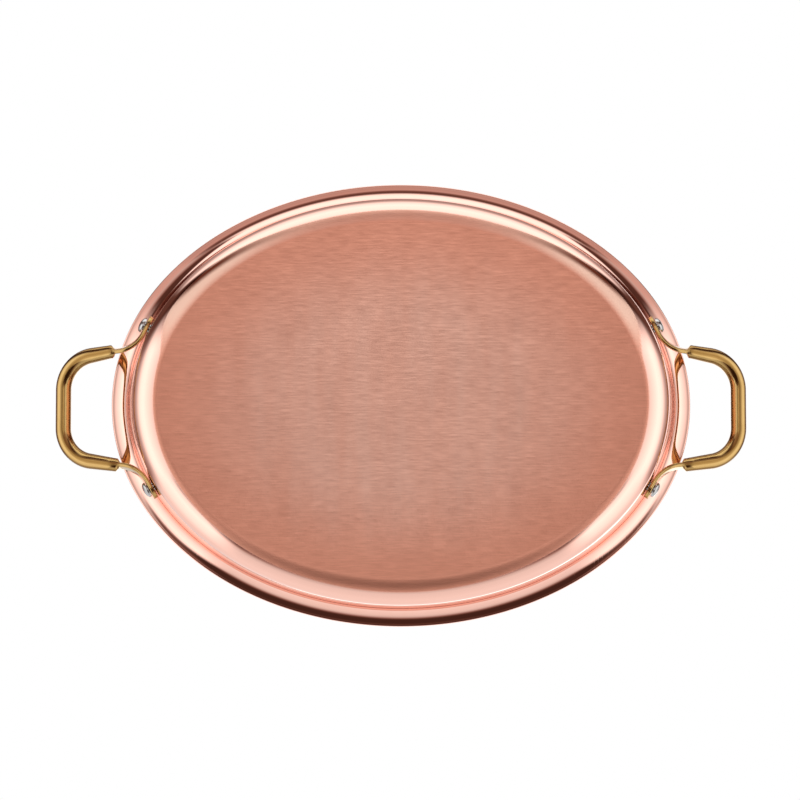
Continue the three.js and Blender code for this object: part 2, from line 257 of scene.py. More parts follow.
# Polished copper of the heel, the wall and the lip, and of the outside of the lid
polish = {
    "colour": (0.95, 0.575, 0.475, 1), "dull": (0.93, 0.53, 0.425, 1), "dullShare": 0.6,
    "low": 0.03, "high": 0.07, "scratchRough": 0.05, "scratchDepth": 0.01, "bump": 0.35, "bumpHeight": 0.0006,
    "panTint": (1, 1, 1, 1), "lidTint": (0.80, 0.50, 0.42, 1),
}


def makePolishedCopper(name, tint):
    made, tree, shader, at = newMaterial(name)
    shader.inputs["Specular Tint"].default_value = tint
    marks = useGroup(tree, wear, {"Vector": at})
    shade = mathOf(tree, "MULTIPLY", marks["Cloud"], polish["dullShare"])
    tree.links.new(mixedColour(tree, shade, polish["colour"], polish["dull"]), shader.inputs["Base Color"])
    cloudy = ranged(tree, marks["Cloud"], 0.0, 1.0, polish["low"], polish["high"])
    rough = mathOf(tree, "ADD", cloudy, mathOf(tree, "MULTIPLY", marks["Scratch"], polish["scratchRough"]))
    tree.links.new(rough, shader.inputs["Roughness"])
    scratch = mathOf(tree, "MULTIPLY", marks["Scratch"], polish["scratchDepth"])
    height = mathOf(tree, "SUBTRACT", marks["Wave"], scratch)
    tree.links.new(bumped(tree, height, polish["bump"], polish["bumpHeight"]), shader.inputs["Normal"])
    return made


# Brushed copper of the base: satin on the flat with painted shade towards its rim, rubbed dull with a painted
# highlight and a painted dark reflection at the rear corners of the heel, and polished past it. The mesh says
# where.
base = {
    # The darker edge colour is painted shade towards the rim of the flat, the pale colour of the rubbed heel
    # is partly a painted highlight, and the near-black colour is a painted dark reflection.
    "colour": (0.95, 0.50, 0.37, 1), "pale": (0.97, 0.59, 0.465, 1), "bandLow": 0.2, "bandHigh": 0.75,
    "edge": (0.95, 0.42, 0.285, 1), "edgeShadeShare": 0.9, "grainLow": 0.935, "grainHigh": 1.025,
    "wornAndHighlight": (0.99, 0.63, 0.485, 1), "wornMetal": 0.3, "paintedReflection": (0.19, 0.04, 0.018, 1),
    "satinLow": 0.30, "satinHigh": 0.38, "cloudRough": 0.03, "bent": 0.46, "fore": 0.40, "bright": 0.05,
    "brushed": 0.8, "brushTurn": 0.25, "bump": 0.3, "bumpHeight": 0.00006,
}


def makeBrushedCopper():
    made, tree, shader, at = newMaterial("brushedCopper")
    lines = useGroup(tree, brushLines, {"Vector": at})
    marks = useGroup(tree, wear, {"Vector": at})
    polished = attributeOf(tree, "polish")
    rubbedAndHighlight = attributeOf(tree, "wornAndHighlight")
    paintedReflectionMask = attributeOf(tree, "paintedReflection")
    bend = attributeOf(tree, "bend")
    fore = attributeOf(tree, "fore")
    band = ranged(tree, lines["Bands"], 0.0, 1.0, base["bandLow"], base["bandHigh"])
    colour = mixedColour(tree, band, base["colour"], base["pale"])
    # painted shade: the flat darkens towards its rim, less so at the back
    paintedEdgeShade = mathOf(tree, "MULTIPLY", attributeOf(tree, "edge"), base["edgeShadeShare"])
    colour = mixedColour(tree, paintedEdgeShade, colour, base["edge"])
    shade = ranged(tree, lines["Streaks"], 0.0, 1.0, base["grainLow"], base["grainHigh"])
    colour = mixedColour(tree, 1.0, colour, shade, "MULTIPLY")
    # the rubbed rear corners of the heel, painted paler as a highlight
    colour = mixedColour(tree, rubbedAndHighlight, colour, base["wornAndHighlight"])
    colour = mixedColour(tree, polished, colour, polish["colour"])
    # painted reflection: a dark line round the rear corners of the heel
    colour = mixedColour(tree, paintedReflectionMask, colour, base["paintedReflection"])
    tree.links.new(colour, shader.inputs["Base Color"])
    # rubbed metal scatters the light where it is neither polished nor under the painted dark reflection
    bare = mathOf(tree, "SUBTRACT", 1.0, mathOf(tree, "MAXIMUM", polished, paintedReflectionMask))
    scatter = mathOf(tree, "MULTIPLY", rubbedAndHighlight, bare)
    tree.links.new(ranged(tree, scatter, 0.0, 1.0, 1.0, base["wornMetal"]), shader.inputs["Metallic"])
    rough = ranged(tree, lines["Streaks"], 0.0, 1.0, base["satinHigh"], base["satinLow"])
    rough = mathOf(tree, "ADD", rough, mathOf(tree, "MULTIPLY", marks["Cloud"], base["cloudRough"]))
    rough = mixedValue(tree, bend, rough, base["bent"])
    rough = mixedValue(tree, fore, rough, base["fore"])
    rough = mixedValue(tree, polished, rough, base["bright"])
    tree.links.new(rough, shader.inputs["Roughness"])
    height = mathOf(tree, "MULTIPLY", lines["Lines"], mathOf(tree, "SUBTRACT", 1.0, polished))
    tree.links.new(bumped(tree, height, base["bump"], base["bumpHeight"]), shader.inputs["Normal"])
    plain = mathOf(tree, "MAXIMUM", bend, fore)
    tree.links.new(ranged(tree, plain, 0.0, 1.0, base["brushed"], 0.0), shader.inputs["Anisotropic"])
    shader.inputs["Anisotropic Rotation"].default_value = base["brushTurn"]
    tangent = addNode(tree, "ShaderNodeTangent", direction_type="UV_MAP", uv_map="surface")
    tree.links.new(tangent.outputs[0], shader.inputs["Tangent"])
    return made


# Tin wiped on inside the pan and under the lid
tin = {
    "colour": (0.80, 0.79, 0.765, 1), "dull": (0.66, 0.65, 0.63, 1), "low": 0.16, "high": 0.34,
    "wearSize": 0.8, "scratchRough": 0.08, "bump": 0.5, "bumpHeight": 0.0006,
    "wipe": 130.0, "wipeDetail": 3.0, "wipeRough": 0.5, "wipeTwist": 1.2, "wipeHeight": 0.25,
}


def makeTin():
    made, tree, shader, at = newMaterial("tinLining")
    marks = useGroup(tree, wear, {"Vector": at, "Size": tin["wearSize"]})
    tree.links.new(mixedColour(tree, marks["Cloud"], tin["colour"], tin["dull"]), shader.inputs["Base Color"])
    cloudy = ranged(tree, marks["Cloud"], 0.0, 1.0, tin["low"], tin["high"])
    rough = mathOf(tree, "ADD", cloudy, mathOf(tree, "MULTIPLY", marks["Scratch"], tin["scratchRough"]))
    tree.links.new(rough, shader.inputs["Roughness"])
    wiped = noiseOf(tree, at, tin["wipe"], tin["wipeDetail"], tin["wipeRough"], tin["wipeTwist"])
    height = mathOf(tree, "ADD", marks["Wave"], mathOf(tree, "MULTIPLY", wiped, tin["wipeHeight"]))
    tree.links.new(bumped(tree, height, tin["bump"], tin["bumpHeight"]), shader.inputs["Normal"])
    return made


# Satin brass of the handles, brushed along the rod, with painted shade and highlight round it
brass = {
    "colour": (0.54, 0.35, 0.135, 1), "dull": (0.43, 0.265, 0.09, 1), "low": 0.11, "high": 0.20,
    "fine": 3200.0, "coarse": 900.0, "bands": 90.0, "wearSize": 1.6, "streakShare": 0.35, "cloudShare": 0.45,
    "nickDepth": 0.25, "bump": 0.35, "bumpHeight": 0.00005,
    # painted shade and highlight around the rod, brightest part way round, darker along the middle of its
    # upper and under sides and darkest just short of its inner and outer sides, from the middle of its upper
    # or under side, 0, to its inner or outer side, 1
    "paintedRodShade": (
        (0, 0.55), (0.22, 0.7), (0.36, 1), (0.63, 1), (0.75, 0.65), (0.87, 0.42), (0.95, 0.5), (1, 0.8),
    ),
    "paintedShadePowers": (1, 1.3, 1.8),
}


def rodShadeOf(level):
    return [level ** power for power in brass["paintedShadePowers"]] + [1]


def makeBrass():
    made, tree, shader, at = newMaterial("satinBrass")
    along = addNode(tree, "ShaderNodeUVMap", uv_map="surface").outputs["UV"]
    scales = {"Fine": brass["fine"], "Coarse": brass["coarse"], "Bands": brass["bands"]}
    lines = useGroup(tree, brushLines, {"Vector": along, **scales})
    marks = useGroup(tree, wear, {"Vector": at, "Size": brass["wearSize"]})
    streak = mathOf(tree, "MULTIPLY", lines["Streaks"], brass["streakShare"])
    tone = mathOf(tree, "ADD", streak, mathOf(tree, "MULTIPLY", marks["Cloud"], brass["cloudShare"]))
    colour = mixedColour(tree, tone, brass["colour"], brass["dull"])
    # painted shade and highlight, fixed round the rod
    shade = rampOf(tree, attributeOf(tree, "around"), brass["paintedRodShade"], rodShadeOf, 1)
    colour = mixedColour(tree, attributeOf(tree, "round"), colour, shade, "MULTIPLY")
    tree.links.new(colour, shader.inputs["Base Color"])
    most = brass["streakShare"] + brass["cloudShare"]
    rough = ranged(tree, tone, 0.0, most, brass["low"], brass["high"])
    tree.links.new(rough, shader.inputs["Roughness"])
    nicks = mathOf(tree, "MULTIPLY", marks["Scratch"], brass["nickDepth"])
    height = mathOf(tree, "SUBTRACT", lines["Lines"], nicks)
    tree.links.new(bumped(tree, height, brass["bump"], brass["bumpHeight"]), shader.inputs["Normal"])
    return made


# Silver rivets, peened by hand
silver = {
    "colour": (0.56, 0.555, 0.545, 1), "dull": (0.40, 0.395, 0.385, 1), "low": 0.20, "high": 0.34,
    "wearSize": 5.0, "dents": 520.0, "cloudHeight": 0.3, "bump": 0.12, "bumpHeight": 0.0003,
}


def makeSilver():
    made, tree, shader, at = newMaterial("rivetSilver")
    marks = useGroup(tree, wear, {"Vector": at, "Size": silver["wearSize"]})
    colour = mixedColour(tree, marks["Cloud"], silver["colour"], silver["dull"])
    tree.links.new(colour, shader.inputs["Base Color"])
    rough = ranged(tree, marks["Cloud"], 0.0, 1.0, silver["low"], silver["high"])
    tree.links.new(rough, shader.inputs["Roughness"])
    inputs = {"Vector": at, "Scale": silver["dents"]}
    dents = addNode(tree, "ShaderNodeTexVoronoi", inputs, feature="SMOOTH_F1")
    cloud = mathOf(tree, "MULTIPLY", marks["Cloud"], silver["cloudHeight"])
    height = mathOf(tree, "ADD", dents.outputs["Distance"], cloud)
    tree.links.new(bumped(tree, height, silver["bump"], silver["bumpHeight"]), shader.inputs["Normal"])
    return made


polishedCopper = makePolishedCopper("polishedCopper", polish["panTint"])
lidCopper = makePolishedCopper("lidCopper", polish["lidTint"])
brushedCopper = makeBrushedCopper()
tinLining = makeTin()
satinBrass = makeBrass()
rivetSilver = makeSilver()
print("stage: materials")


# Section points come as pairs of a point and the normal of the surface there.
def arcPoints(centre, radius, start, end, steps, side=1):
    points = []
    for i in range(steps + 1):
        angle = lerp(start, end, i / steps)
        normal = Vector((math.cos(angle), math.sin(angle)))
        points.append((centre + radius * normal, side * normal))
    return points


def backOf(points, thickness):
    return [(point - thickness * normal, -normal) for point, normal in reversed(points)]


def between(first, last, steps):
    return [(first[0].lerp(last[0], i / steps), first[1]) for i in range(1, steps)]


# Mesh over closed rings, with a fan at each end. zoneOf(ring) gives the material of the faces after a ring.
def ringMesh(name, rings, firstCentre, lastCentre, materials, zoneOf, flip=False):
    count = len(rings[0])
    points = [firstCentre] + [point for ring in rings for point in ring] + [lastCentre]
    last = len(points) - 1
    faces = []
    zones = []

    def at(ring, i):
        return 1 + ring * count + i % count

    for i in range(count):
        faces.append((0, at(0, i + 1), at(0, i)))
        zones.append(zoneOf(0))
        for ring in range(len(rings) - 1):
            faces.append((at(ring, i), at(ring, i + 1), at(ring + 1, i + 1), at(ring + 1, i)))
            zones.append(zoneOf(ring))
        faces.append((at(len(rings) - 1, i), at(len(rings) - 1, i + 1), last))
        zones.append(zoneOf(len(rings) - 1))
    if flip:
        faces = [tuple(reversed(face)) for face in faces]
    mesh = bpy.data.meshes.new(name)
    mesh.from_pydata([point * metre for point in points], [], faces)
    mesh.polygons.foreach_set("material_index", zones)
    mesh.polygons.foreach_set("use_smooth", [True] * len(faces))
    for material in materials:
        mesh.materials.append(material)
    mesh.update()
    made = bpy.data.objects.new(name, mesh)
    scene.collection.objects.link(made)
    return made


# Texture coordinates in metres, from a point's number and its place.
def giveCoordinates(made, coordinateOf):
    mesh = made.data
    layer = mesh.uv_layers.new(name="surface")
    for loop in mesh.loops:
        layer.data[loop.index].uv = coordinateOf(loop.vertex_index, mesh.vertices[loop.vertex_index].co)


def ovalRings(endPoints, sidePoints, segments):
    rings = []
    for (end, _), (side, _) in zip(endPoints, sidePoints):
        ring = []
        for j in range(segments):
            angle = 2 * math.pi * j / segments
            z = lerp(end.y, side.y, math.sin(angle) ** 2)
            ring.append(Vector((end.x * math.cos(angle), side.x * math.sin(angle), z)))
        rings.append(ring)
    return rings


# Pan: flat base, heel, wall and flared lip
pan = {
    "rimLength": 300, "rimWidth": 229.5, "baseLength": 243.6, "baseWidth": 177.6, "height": 45,
    "sheet": 1.2, "heelRadius": 14.2, "lipRadius": 9.1, "segments": 288,
    "flatShares": (0.06, 0.2, 0.35, 0.5, 0.65, 0.8, 0.9, 0.96, 0.985, 0.995),
    "heelSteps": 60, "wallSteps": 6, "lipSteps": 28, "edgeSteps": 8,
}
# Its finish, with painted shade, a painted highlight and a painted dark reflection. Turns are degrees of the
# heel's bend, places run from -1 at the front to 1 at the back.
finishAndPaintedLight = {
    "satinAtEnds": 9, "satinAtSides": 28, "satinBehind": 39.5, "satinFade": 1.5, "satinUntil": 54,
    "cornerStart": (0.22, 0.48), "cornerEnd": (0.72, 1), "wornHighlightTurns": (2, 20), "bentTurns": (0, 12),
    "edgeShadeShares": (0.45, 1), "edgeShadeFaded": 0.7, "fadedPlaces": (0, 0.5), "fadedTurns": (2, 12),
    "forePlaces": (-0.5, -0.85), "foreTurns": (-2, 3),
    "reflectionAt": (45.5, 28.5), "reflectionPlaces": (0.485, 0.866), "reflectionIn": (-15, -3), "reflectionOut": (1, 5),
    "reflectionStart": (0.44, 0.62), "reflectionEnd": (0.68, 0.985),
}


def panSection(baseHalf, rimHalf):
    heelCentre = Vector((baseHalf, pan["heelRadius"]))
    lipCentre = Vector((rimHalf - pan["sheet"] / 2, pan["height"] - pan["sheet"] - pan["lipRadius"]))
    reach = lipCentre - heelCentre
    bends = pan["heelRadius"] + pan["lipRadius"]
    flare = math.acos(bends / reach.length) - math.atan2(reach.y, reach.x)
    heel = arcPoints(heelCentre, pan["heelRadius"], -math.pi / 2, -flare, pan["heelSteps"])
    lip = arcPoints(lipCentre, pan["lipRadius"], math.pi - flare, math.pi / 2, pan["lipSteps"], -1)
    flat = [(Vector((baseHalf * share, 0)), Vector((0, -1))) for share in pan["flatShares"]]
    outside = flat + heel + between(heel[-1], lip[0], pan["wallSteps"]) + lip
    edgeCentre = Vector((rimHalf - pan["sheet"] / 2, pan["height"] - pan["sheet"] / 2))
    edge = arcPoints(edgeCentre, pan["sheet"] / 2, -math.pi / 2, math.pi / 2, pan["edgeSteps"])[1:-1]
    return {
        "points": outside + edge + backOf(outside, pan["sheet"]), "outsideCount": len(outside) + len(edge),
        "flare": flare, "wallFoot": heel[-1][0], "wallTop": lip[0][0],
    }


panEnd = panSection(pan["baseLength"] / 2, pan["rimLength"] / 2)
panSide = panSection(pan["baseWidth"] / 2, pan["rimWidth"] / 2)


# share runs out over the flat, turned round the heel, and place from the front to the back.
def panFinishAndPaintedLight(share, turned, place):
    corner = smoothStep(place, *finishAndPaintedLight["cornerStart"]) * (1 - smoothStep(place, *finishAndPaintedLight["cornerEnd"]))
    limit = lerp(finishAndPaintedLight["satinAtEnds"], finishAndPaintedLight["satinAtSides"], place ** 2)
    limit = lerp(limit, finishAndPaintedLight["satinBehind"], corner)
    # painted shade towards the rim of the flat, faded out at the back
    faded = finishAndPaintedLight["edgeShadeFaded"] * smoothStep(place, *finishAndPaintedLight["fadedPlaces"])
    faded *= smoothStep(turned, *finishAndPaintedLight["fadedTurns"])
    # painted reflection: a dark line at a set turn of the heel, at its rear corners
    past = turned - lerp(*finishAndPaintedLight["reflectionAt"], shareOf(place, *finishAndPaintedLight["reflectionPlaces"]))
    paintedReflection = smoothStep(past, *finishAndPaintedLight["reflectionIn"]) * (1 - smoothStep(past, *finishAndPaintedLight["reflectionOut"]))
    paintedReflection *= smoothStep(place, *finishAndPaintedLight["reflectionStart"]) * (1 - smoothStep(place, *finishAndPaintedLight["reflectionEnd"]))
    return {
        "polish": smoothStep(turned, limit - finishAndPaintedLight["satinFade"], limit + finishAndPaintedLight["satinFade"]),
        "edge": smoothStep(share, *finishAndPaintedLight["edgeShadeShares"]) * (1 - faded),
        "bend": smoothStep(turned, *finishAndPaintedLight["bentTurns"]),
        "wornAndHighlight": corner * smoothStep(turned, *finishAndPaintedLight["wornHighlightTurns"]),
        "fore": smoothStep(place, *finishAndPaintedLight["forePlaces"]) * smoothStep(turned, *finishAndPaintedLight["foreTurns"]),
        "paintedReflection": paintedReflection,
    }


def makePan():
    flatRings = len(pan["flatShares"])
    heelStep = (90 - math.degrees(panEnd["flare"])) / pan["heelSteps"]
    satinRings = flatRings + round(finishAndPaintedLight["satinUntil"] / heelStep)

    def zoneOf(ring):
        if ring < satinRings:
            return 0
        return 1 if ring < panEnd["outsideCount"] - 1 else 2

    rings = ovalRings(panEnd["points"], panSide["points"], pan["segments"])
    bottom = Vector((0, 0, 0))
    top = Vector((0, 0, pan["sheet"]))
    materials = [brushedCopper, polishedCopper, tinLining]
    made = ringMesh("panShell", rings, bottom, top, materials, zoneOf)
    found = []
    for ring in range(len(rings)):
        turned = (ring - flatRings) * heelStep
        share = pan["flatShares"][ring] if ring < flatRings else 1
        for j in range(pan["segments"]):
            found.append(panFinishAndPaintedLight(share, turned, math.sin(2 * math.pi * j / pan["segments"])))
    # the finish and the painted shade, highlight and reflection go onto the mesh's points
    for key in found[0]:
        values = [0.0] + [one[key] for one in found] + [1.0]
        made.data.attributes.new(key, "FLOAT", "POINT").data.foreach_set("value", values)
    giveCoordinates(made, lambda number, co: (co.x, co.y))
    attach(made, "pan")
    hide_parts("pan_body")


makePan()
print("stage: pan")


# Lid: crown, shoulder, locating groove and flange, on the lip
lid = {
    "inset": 2, "seatGap": 0.3, "rise": 20, "crownSlope": 7, "shoulderRadius": 16, "shoulderSlope": 62,
    "grooveDepth": 7.5, "grooveRadius": 3.2, "grooveDraft": 8, "flangeFillet": 2.6, "mouthGap": 1,
    "segments": 288, "crownSteps": 14, "arcSteps": 14, "flangeSteps": 3, "edgeSteps": 8,
}
lidFoot = pan["height"] + lid["seatGap"]


def lidSection(rimHalf):
    sheet = pan["sheet"]
    steps = lid["arcSteps"]
    lip = Vector((rimHalf - sheet / 2, -lid["seatGap"] - sheet - pan["lipRadius"]))
    grooveZ = sheet - lid["grooveDepth"] + lid["grooveRadius"]
    apart = pan["lipRadius"] + sheet + lid["grooveRadius"] + sheet + lid["mouthGap"]
    groove = Vector((lip.x - math.sqrt(apart ** 2 - (grooveZ - lip.y) ** 2), grooveZ))
    slope = math.radians(lid["shoulderSlope"])
    draft = math.radians(lid["grooveDraft"])
    grooveArc = arcPoints(groove, lid["grooveRadius"], 1.5 * math.pi - slope, 2 * math.pi - draft, steps, -1)
    filletZ = sheet - lid["flangeFillet"]
    bends = lid["grooveRadius"] + lid["flangeFillet"]
    wall = (filletZ - groove.y + bends * math.sin(draft)) / math.cos(draft)
    fillet = Vector((groove.x + bends * math.cos(draft) + wall * math.sin(draft), filletZ))
    filletArc = arcPoints(fillet, lid["flangeFillet"], math.pi - draft, math.pi / 2, steps)
    edgeSlope = math.radians(lid["crownSlope"])
    steep = math.tan(slope)
    sag = math.tan(edgeSlope) / 2
    radius = lid["shoulderRadius"]
    turnX = radius * (math.sin(slope) - math.sin(edgeSlope))
    turnZ = radius * (math.cos(edgeSlope) - math.cos(slope))
    start = grooveArc[0][0]
    crownHalf = (steep * (start.x - turnX) + start.y - lid["rise"] + turnZ) / (steep - sag)
    crown = []
    for i in range(1, lid["crownSteps"]):
        x = crownHalf * i / lid["crownSteps"]
        normal = Vector((2 * sag * x / crownHalf, 1)).normalized()
        crown.append((Vector((x, lid["rise"] - sag * x * x / crownHalf)), normal))
    shoulderX = crownHalf - radius * math.sin(edgeSlope)
    shoulder = Vector((shoulderX, lid["rise"] - sag * crownHalf - radius * math.cos(edgeSlope)))
    shoulderArc = arcPoints(shoulder, radius, math.pi / 2 - edgeSlope, math.pi / 2 - slope, steps)
    edgeHalf = rimHalf - lid["inset"]
    flange = (Vector((edgeHalf - sheet / 2, sheet)), Vector((0, 1)))
    rest = between(filletArc[-1], flange, lid["flangeSteps"])
    top = crown + shoulderArc + grooveArc + filletArc + rest + [flange]
    edgeCentre = Vector((edgeHalf - sheet / 2, sheet / 2))
    edge = arcPoints(edgeCentre, sheet / 2, math.pi / 2, -math.pi / 2, lid["edgeSteps"])[1:-1]
    points = top + edge + backOf(top, sheet)
    return {"points": points, "topCount": len(top) + len(edge), "sag": sag / crownHalf}


lidEnd = lidSection(pan["rimLength"] / 2)
lidSide = lidSection(pan["rimWidth"] / 2)


def makeLid():
    rings = ovalRings(lidEnd["points"], lidSide["points"], lid["segments"])
    crown = Vector((0, 0, lid["rise"]))
    under = Vector((0, 0, lid["rise"] - pan["sheet"]))
    materials = [lidCopper, tinLining]

    def zoneOf(ring):
        return 0 if ring < lidEnd["topCount"] else 1

    made = ringMesh("lidShell", rings, crown, under, materials, zoneOf, flip=True)
    giveCoordinates(made, lambda number, co: (co.x, co.y))
    made.location.z = lidFoot * metre
    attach(made, "lid")
    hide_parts("lid_body")


makeLid()
print("stage: lid")


# Handles: rod bent to a loop, with feet flattened against their seat
handle = {
    "rodDiameter": 7.9, "armDiameter": 6.8, "gripBend": 17.5, "armSplay": 8.4, "footThickness": 2.4,
    "footHeight": 11.5, "flattenLength": 2.2, "footLead": 1.3, "spreadLength": 9, "footSquareness": 5,
    "rivetFromBend": 3, "fitGap": 0.3, "tipTurn": 86,
    "sides": 40, "gripSteps": 4, "armSteps": 6, "steps": 18, "searchSteps": 60,
}
sideHandle = {"fingerGap": 20.4, "armSpan": 57.1, "footBend": 17, "footDrop": 2.6, "rake": 24, "shift": 2.5}
lidHandle = {"gripRise": 32, "armSpan": 62.8, "footBend": 8}


def handleHalf(seat, gripOut, spanOut, span, bend):
    splay = math.radians(handle["armSplay"])
    steps = handle["steps"]
    onArm = Vector((spanOut, span / 2))
    armWay = Vector((-math.cos(splay), math.sin(splay)))
    armSide = Vector((math.sin(splay), math.cos(splay)))
    lift = handle["fitGap"] + handle["footThickness"] / 2

    def bendCentre(along):
        point, normal, _ = seat(along)
        return point + normal * (lift + bend)

    low = 0
    high = span + bend
    for _ in range(handle["searchSteps"]):
        middle = (low + high) / 2
        if (bendCentre(middle) - onArm).dot(armSide) < bend:
            low = middle
        else:
            high = middle
    centre = bendCentre(low)
    landed = seat(low)[1]
    stations = []

    def add(point, way, tipHeight=None):
        gone = stations[-1]["gone"] + (point - stations[-1]["point"]).length if stations else 0
        stations.append({"point": point, "way": way.normalized(), "gone": gone, "tipHeight": tipHeight})

    corner = onArm.y - (gripOut - spanOut) * math.tan(splay)
    gripBend = handle["gripBend"]
    gripHalf = corner - gripBend * math.tan((math.pi / 2 - splay) / 2)
    for i in range(handle["gripSteps"]):
        add(Vector((gripOut, gripHalf * i / handle["gripSteps"])), Vector((0, 1)))
    for i in range(steps + 1):
        angle = lerp(0, math.pi / 2 - splay, i / steps)
        point = Vector((gripOut - gripBend * (1 - math.cos(angle)), gripHalf + gripBend * math.sin(angle)))
        add(point, Vector((-math.sin(angle), math.cos(angle))))
    armFrom = stations[-1]["gone"]
    armEnd = stations[-1]["point"]
    bendStart = centre - bend * armSide
    shoulderAt = bendStart - armWay * (handle["footLead"] + handle["flattenLength"])
    for i in range(1, handle["armSteps"]):
        add(armEnd.lerp(shoulderAt, i / handle["armSteps"]), armWay)
    shoulderNumber = len(stations)
    for i in range(steps + 1):
        add(shoulderAt + armWay * handle["flattenLength"] * i / steps, armWay)
    shoulderGone = stations[shoulderNumber]["gone"]
    turnFrom = math.atan2(-armSide.y, -armSide.x)
    turnTo = math.atan2(-landed.y, -landed.x)
    if turnTo >= turnFrom:
        turnTo -= 2 * math.pi
    for i in range(steps + 1):
        angle = lerp(turnFrom, turnTo, i / steps)
        point = centre + bend * Vector((math.cos(angle), math.sin(angle)))
        add(point, Vector((math.sin(angle), -math.cos(angle))))
    rivetAlong = low + handle["rivetFromBend"] * landed.x
    tipWay = seat(rivetAlong)[1].x
    for i in range(steps + 1):
        turn = math.radians(handle["tipTurn"]) * i / steps
        point, normal, _ = seat(rivetAlong + handle["footHeight"] / 2 * math.sin(turn) * tipWay)
        add(point + lift * normal, Vector((-normal.y, normal.x)), handle["footHeight"] * math.cos(turn))
    for station in stations:
        gone = station["gone"]
        taper = clamp((gone - armFrom) / (shoulderGone - armFrom))
        rod = lerp(handle["rodDiameter"], handle["armDiameter"], taper)
        flat = smoothStep(gone, shoulderGone, shoulderGone + handle["flattenLength"])
        spread = smoothStep(gone, shoulderGone, shoulderGone + handle["spreadLength"])
        station["flat"] = flat
        station["lean"] = flat * seat(station["point"].y)[2]
        station["thick"] = lerp(rod, handle["footThickness"], flat)
        station["tall"] = station["tipHeight"] or lerp(rod, handle["footHeight"], spread)
    return {"stations": stations, "rivet": seat(rivetAlong), "shoulderOut": shoulderAt.x}


def softPower(value, power):
    return math.copysign(abs(value) ** power, value)


# Loop in its own frame: x out, y along, z across, from its half at -y and its half at +y.
def handleMesh(name, front, rear, rake, placed, flip=False):
    sides = handle["sides"]
    riseFrom = max(front["shoulderOut"], rear["shoulderOut"])

    def ringOf(station, side):
        point = station["point"]
        lean = station["lean"]
        normal = Vector((station["way"].y, -station["way"].x))
        rise = max(0, point.x - riseFrom) * math.tan(rake)
        power = 2 / lerp(2, handle["footSquareness"], station["flat"])
        ring = []
        for i in range(sides):
            angle = -2 * math.pi * i / sides
            thin = station["thick"] / 2 * softPower(math.cos(angle), power)
            across = station["tall"] / 2 * softPower(math.sin(angle), power)
            out = thin * math.cos(lean) + across * math.sin(lean)
            up = across * math.cos(lean) - thin * math.sin(lean) + rise
            ring.append(Vector((point.x + out * normal.x, side * (point.y + out * normal.y), up)))
        return ring

    near = rear["stations"]
    far = list(reversed(front["stations"][1:]))
    rings = [ringOf(station, -1) for station in far] + [ringOf(station, 1) for station in near]
    gone = [-station["gone"] for station in far] + [station["gone"] for station in near]
    first = rings[0][0].lerp(rings[0][sides // 2], 0.5)
    last = rings[-1][0].lerp(rings[-1][sides // 2], 0.5)
    rings = [[placed @ point for point in ring] for ring in rings]
    made = ringMesh(name, rings, placed @ first, placed @ last, [satinBrass], lambda ring: 0, flip)

    def coordinateOf(number, co):
        ring = min(max(number - 1, 0) // sides, len(rings) - 1)
        around = (number - 1) % sides / sides
        return (gone[ring] * metre, abs(2 * around - 1) * math.pi * handle["rodDiameter"] / 2 * metre)

    giveCoordinates(made, coordinateOf)
    rounded = [1 - station["flat"] for station in far + near for _ in range(sides)]
    # how far round the rod a point is, which places the brass's painted shade
    around = [abs(math.cos(2 * math.pi * i / sides)) for _ in rings for i in range(sides)]
    for key, values in (("round", rounded), ("around", around)):
        ends = [values[0]] + values + [values[-1]]
        made.data.attributes.new(key, "FLOAT", "POINT").data.foreach_set("value", ends)
    return made


footZ = panEnd["wallTop"].y - sideHandle["footDrop"] - handle["footHeight"] / 2


def wallHalf(section):
    return section["wallFoot"].x + (footZ - section["wallFoot"].y) * math.tan(section["flare"])


wallLong = wallHalf(panEnd)
wallWide = wallHalf(panSide)


# The wall at the height of the feet: a point, the way out of it, and its lean. along is taken from the
# middle of the handle, which is set off from the middle of the pan.
def wallSeat(along, setOff):
    sine = min((along + setOff) / wallWide, 1)
    cosine = math.sqrt(1 - sine * sine)
    normal = Vector((wallWide * cosine, wallLong * sine)).normalized()
    run = math.tan(panEnd["flare"]) * normal.x ** 2 + math.tan(panSide["flare"]) * normal.y ** 2
    return Vector((wallLong * cosine, wallWide * sine - setOff)), normal, math.atan(run)


def crownSeat(along):
    normal = Vector((1, 2 * lidEnd["sag"] * along)).normalized()
    return Vector((lid["rise"] - lidEnd["sag"] * along ** 2, along)), normal, 0


def sideHalf(setOff):
    rim = pan["rimLength"] / 2
    gripOut = rim + sideHandle["fingerGap"] + handle["rodDiameter"] / 2

    def seat(along):
        return wallSeat(along, setOff)

    return handleHalf(seat, gripOut, rim, sideHandle["armSpan"], sideHandle["footBend"])


frontHalf = sideHalf(sideHandle["shift"])
rearHalf = sideHalf(-sideHandle["shift"])
lidGrip = lid["rise"] + lidHandle["gripRise"]
lidHalf = handleHalf(crownSeat, lidGrip, lid["rise"], lidHandle["armSpan"], lidHandle["footBend"])


def makeHandles():
    rake = math.radians(sideHandle["rake"])
    raised = Matrix.Translation((0, -sideHandle["shift"], footZ))
    mirror = Matrix.Scale(-1, 4, Vector((1, 0, 0)))
    for side, placed in (("right", raised), ("left", mirror @ raised)):
        made = handleMesh(f"{side}Loop", frontHalf, rearHalf, rake, placed, flip=side == "left")
        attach(made, "pan")
        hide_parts(f"{side}_handle")
    upright = Matrix(((0, 1, 0, 0), (0, 0, 1, 0), (1, 0, 0, lidFoot), (0, 0, 0, 1)))
    made = handleMesh("lidLoop", lidHalf, lidHalf, 0, upright)
    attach(made, "lid")
    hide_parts("lid_handle")


makeHandles()
print("stage: handles")


